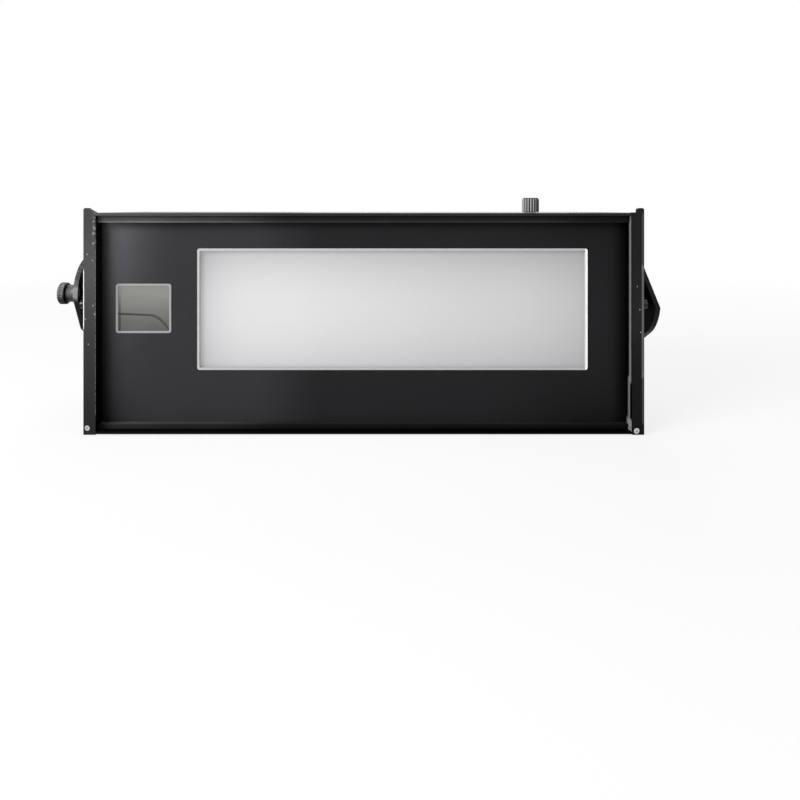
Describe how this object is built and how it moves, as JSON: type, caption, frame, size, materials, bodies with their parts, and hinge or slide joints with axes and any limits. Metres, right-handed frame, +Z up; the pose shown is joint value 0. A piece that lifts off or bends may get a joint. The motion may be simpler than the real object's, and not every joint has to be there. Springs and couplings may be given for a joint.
{
  "type": "x-ray film viewer",
  "caption": "Black desk-top light box for viewing radiographs, with a bright opal window, a density readout, a brightness knob and a swinging U-shaped bail stand clamped by a knurled knob.",
  "frame": {"origin": "middle of the whole footprint, in the plane of the feet", "axes": "+X to the right along the width, seen from the front; +Y from the front to the back; +Z up"},
  "size_m": [0.5254, 0.191, 0.1959],
  "materials": {
    "black_metal": "black anodised, satin, worn bright at the edges",
    "cover_metal": "black anodised, glossy at the front lip",
    "rail_metal": "black anodised, satin",
    "panel_metal": "dark grey painted, satin",
    "bail_metal": "black paint, scratched at the edges",
    "bar_metal": "bare, milled",
    "bare_aluminium": "bare, extruded",
    "bright_steel": "bright",
    "dark_steel": "blackened",
    "clamp_metal": "grey anodised, knurled",
    "post_brass": "plain",
    "pale_border": "pale grey",
    "opal_plastic": "opal, lit from behind",
    "readout_plastic": "grey, glossy",
    "white_plastic": "white",
    "lamp_plastic": "yellow phosphor",
    "dark_plastic": "black",
    "knob_plastic": "black, ribbed",
    "board_green": "green board",
    "wire_plastic": "sleeved wire",
    "foot_rubber": "black",
    "fuse_ceramic": "clear"
  },
  "bodies": {
    "housing": {"left_cheek": "black_metal", "right_cheek": "black_metal", "top_cover": "cover_metal", "bottom_cover": "cover_metal", "rear_panel": "cover_metal", "front_tie_bars": "bar_metal", "rear_tie_bars": "bar_metal", "top_rail": "rail_metal", "bottom_rail": "rail_metal", "front_panel": "panel_metal", "window_frame": "pale_border", "opal_diffuser": "opal_plastic", "readout_frame": "pale_border", "readout_window": "readout_plastic", "display_module": "dark_plastic", "densitometer_board": "board_green", "light_box": "white_plastic", "led_board": "white_plastic", "led_lamps": "lamp_plastic", "heat_sink": "bare_aluminium", "power_supply": "bare_aluminium", "driver_board": "board_green", "board_posts": "post_brass", "fan_frames": "dark_plastic", "fan_guards": "bright_steel", "dimmer_body": "bright_steel", "dimmer_nut": "bright_steel", "mains_inlet": "dark_plastic", "inlet_pins": "post_brass", "switch_body": "dark_plastic", "probe_jack": "dark_plastic", "feet": "foot_rubber", "left_pivot_boss": "bar_metal", "right_pivot_boss": "bar_metal", "left_pivot_stud": "bright_steel", "right_pivot_screw": "bright_steel", "side_screws": "bright_steel", "front_screws": "bright_steel", "cover_screws": "dark_steel", "rear_screws": "dark_steel", "rail_screws": "dark_steel", "engine_brackets": "bar_metal", "wiring": "wire_plastic"},
    "bail": {"left_arm": "bail_metal", "right_arm": "bail_metal", "crossbar": "bail_metal", "bail_pads": "foot_rubber"},
    "clamp_washer_body": {"clamp_washer": "bright_steel"},
    "clamp_knob_body": {"clamp_knob": "clamp_metal"},
    "dimmer": {"dimmer_shaft": "bright_steel", "brightness_knob": "knob_plastic"},
    "left_rotor": {"left_fan_rotor": "dark_plastic"},
    "right_rotor": {"right_fan_rotor": "dark_plastic"},
    "rocker": {"switch_rocker": "knob_plastic"},
    "drawer": {"fuse_drawer": "dark_plastic", "fuses": "fuse_ceramic"}
  },
  "joints": [
    {"name": "bail_swing", "type": "hinge", "parent": "housing", "child": "bail", "pos_m": [0.01075, -0.04049, 0.11], "axis": [1, 0, 0], "range_deg": [-53, 127]},
    {"name": "clamp_travel", "type": "slide", "parent": "housing", "child": "clamp_washer_body", "axis": [-1, 0, 0], "range_m": [0, 0.00125]},
    {"name": "clamp_turn", "type": "hinge", "parent": "clamp_washer_body", "child": "clamp_knob_body", "pos_m": [-0.24925, -0.04049, 0.11], "axis": [-1, 0, 0], "range_deg": [0, 360]},
    {"name": "dimmer_turn", "type": "hinge", "parent": "housing", "child": "dimmer", "pos_m": [0.15645, -0.05949, 0.18], "axis": [0, 0, 1], "range_deg": [-300, 0]},
    {"name": "left_fan_spin", "type": "hinge", "parent": "housing", "child": "left_rotor", "pos_m": [-0.01025, 0.04451, 0.10199], "axis": [0, 1, 0], "continuous": true},
    {"name": "right_fan_spin", "type": "hinge", "parent": "housing", "child": "right_rotor", "pos_m": [0.07975, 0.04451, 0.10199], "axis": [0, 1, 0], "continuous": true},
    {"name": "rocker_tip", "type": "hinge", "parent": "housing", "child": "rocker", "pos_m": [-0.17125, 0.05351, 0.124], "axis": [1, 0, 0], "range_deg": [-18, 0]},
    {"name": "fuse_drawer_slide", "type": "slide", "parent": "housing", "child": "drawer", "axis": [0, 1, 0], "range_m": [0, 0.018]}
  ],
  "couplings": [
    {"joint": "clamp_travel", "follows": "clamp_turn", "m_per_rad": 0.00019894}
  ]
}
